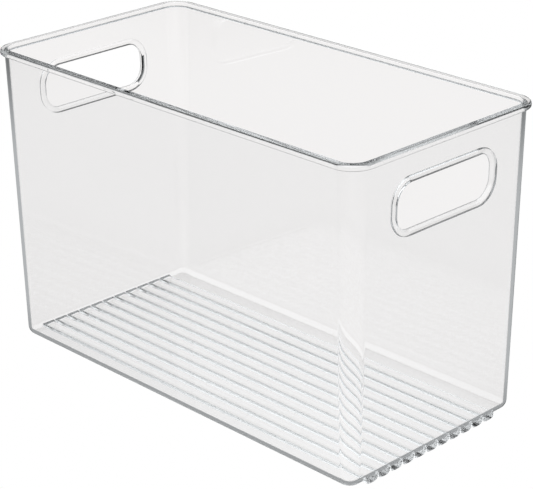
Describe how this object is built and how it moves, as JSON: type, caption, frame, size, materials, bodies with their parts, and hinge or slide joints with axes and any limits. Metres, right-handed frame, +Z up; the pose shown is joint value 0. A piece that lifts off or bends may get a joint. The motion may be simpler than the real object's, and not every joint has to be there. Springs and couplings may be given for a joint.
{
  "type": "fridge storage bin",
  "caption": "Clear open-topped rectangular storage bin with a beaded rim, a framed hand hole in each end and rounded lengthwise feet.",
  "frame": {"origin": "centre of the footprint, on the surface the bin stands on", "axes": "+X along the bin's length towards the right end wall, +Y across its width towards the back wall, +Z up through the open mouth"},
  "size_m": [0.305, 0.155, 0.196],
  "materials": {
    "clear_plastic": "polished, transparent"
  },
  "bodies": {
    "root": {"back_left_corner": "clear_plastic", "back_left_rim_corner": "clear_plastic", "back_right_corner": "clear_plastic", "back_right_rim_corner": "clear_plastic", "back_rim": "clear_plastic", "back_wall": "clear_plastic", "base_foot_01": "clear_plastic", "base_foot_02": "clear_plastic", "base_foot_03": "clear_plastic", "base_foot_04": "clear_plastic", "base_foot_05": "clear_plastic", "base_foot_06": "clear_plastic", "base_foot_07": "clear_plastic", "base_foot_08": "clear_plastic", "base_foot_09": "clear_plastic", "base_foot_10": "clear_plastic", "base_foot_11": "clear_plastic", "floor_panel": "clear_plastic", "front_left_corner": "clear_plastic", "front_left_rim_corner": "clear_plastic", "front_right_corner": "clear_plastic", "front_right_rim_corner": "clear_plastic", "front_rim": "clear_plastic", "front_wall": "clear_plastic", "left_handle_bead": "clear_plastic", "left_rim": "clear_plastic", "left_wall": "clear_plastic", "right_handle_bead": "clear_plastic", "right_rim": "clear_plastic", "right_wall": "clear_plastic"}
  },
  "joints": []
}
